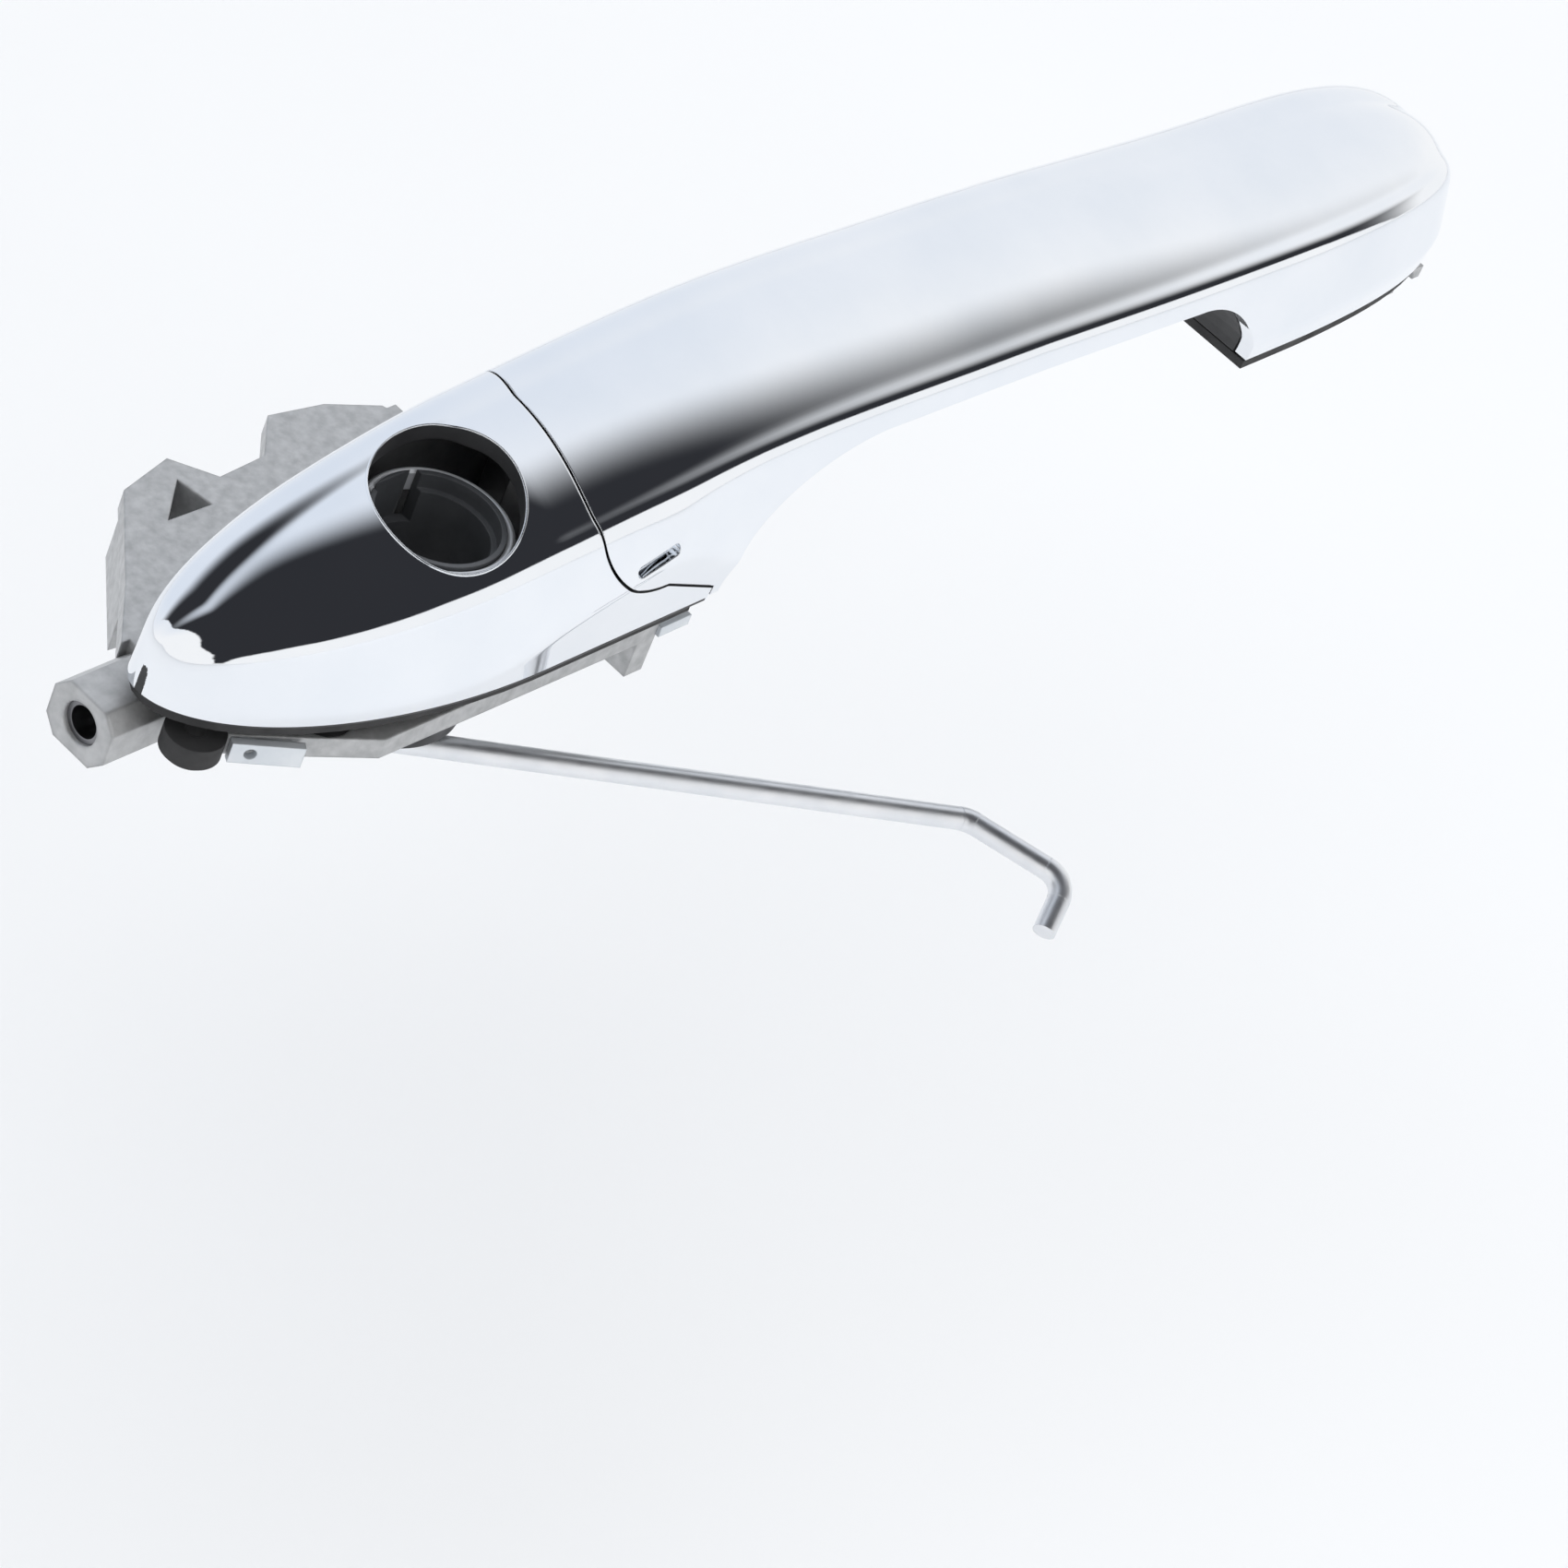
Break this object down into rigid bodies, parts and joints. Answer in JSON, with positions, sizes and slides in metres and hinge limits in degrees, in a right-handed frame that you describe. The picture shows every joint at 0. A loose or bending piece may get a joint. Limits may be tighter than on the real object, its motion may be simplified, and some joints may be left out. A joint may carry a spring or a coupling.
{
  "type": "outside door handle",
  "caption": "Plated pull handle for a car door: hinged grip with finger arch, key-end cap round the lock bore, die-cast base, return lever and bent rod.",
  "frame": {"origin": "lock bore axis at the plane of the cap's lower edge, where it meets the door skin", "axes": "+X along the handle from the key end to the pivot end, +Z outward from the door, +Y up on the car"},
  "size_m": [0.2411, 0.104, 0.052],
  "materials": {
    "chrome_plate": "polished chrome plate",
    "seal_rubber": "matt moulded rubber",
    "bright_ring": "bright turned ring",
    "sleeve_plastic": "fine-grain moulded plastic",
    "housing_plastic": "fine-grain moulded plastic",
    "die_cast": "as-cast satin metal",
    "boss_cast": "as-cast satin metal",
    "insert_steel": "machined",
    "pale_plate": "satin sheet",
    "zinc_steel": "bright zinc plate",
    "spring_steel": "drawn wire",
    "liner_plastic": "plated moulding, a little duller than the shell",
    "carrier_plastic": "glass-filled moulding",
    "lever_plastic": "glass-filled moulding",
    "clip_plastic": "natural moulding",
    "pad_rubber": "matt moulded rubber"
  },
  "bodies": {
    "mount_body": {"key_end_cap": "chrome_plate", "cap_gasket": "seal_rubber", "lock_trim_ring": "bright_ring", "lock_sleeve": "sleeve_plastic", "lock_housing": "housing_plastic", "die_cast_base": "die_cast", "fixing_boss": "boss_cast", "boss_thread_insert": "insert_steel", "skin_grommets": "seal_rubber", "side_plate": "pale_plate", "cap_screw": "zinc_steel", "locating_tab": "pale_plate", "lever_pin": "zinc_steel", "return_spring": "spring_steel", "claw_bumper": "pad_rubber", "pivot_gasket": "seal_rubber", "pivot_seat": "die_cast", "pivot_pin": "zinc_steel"},
    "grip_body": {"grip_shell": "chrome_plate", "grip_liner": "liner_plastic", "grip_claw": "carrier_plastic", "claw_screws": "zinc_steel", "pivot_lug": "carrier_plastic", "lug_screw": "zinc_steel", "foot_pad": "pad_rubber"},
    "lever_body": {"lever": "lever_plastic", "lever_crossbar": "zinc_steel"},
    "rod_body": {"rod": "zinc_steel", "rod_clip": "clip_plastic"}
  },
  "joints": [
    {"name": "grip_pull", "type": "hinge", "parent": "mount_body", "child": "grip_body", "pos_m": [0.193, 0, -0.0055], "axis": [0, 1, 0], "range_deg": [0, 5]},
    {"name": "lever_turn", "type": "hinge", "parent": "mount_body", "child": "lever_body", "pos_m": [0.002, 0.0132, -0.0136], "axis": [0, -1, 0], "range_deg": [0, 39.6]},
    {"name": "rod_swing", "type": "hinge", "parent": "lever_body", "child": "rod_body", "pos_m": [-0.01197, 0.0132, -0.01262], "axis": [0, 1, 0], "range_deg": [0, 39.6]}
  ],
  "couplings": [
    {"joint": "lever_turn", "follows": "grip_pull", "ratio": 7.92},
    {"joint": "rod_swing", "follows": "grip_pull", "ratio": 7.92}
  ]
}
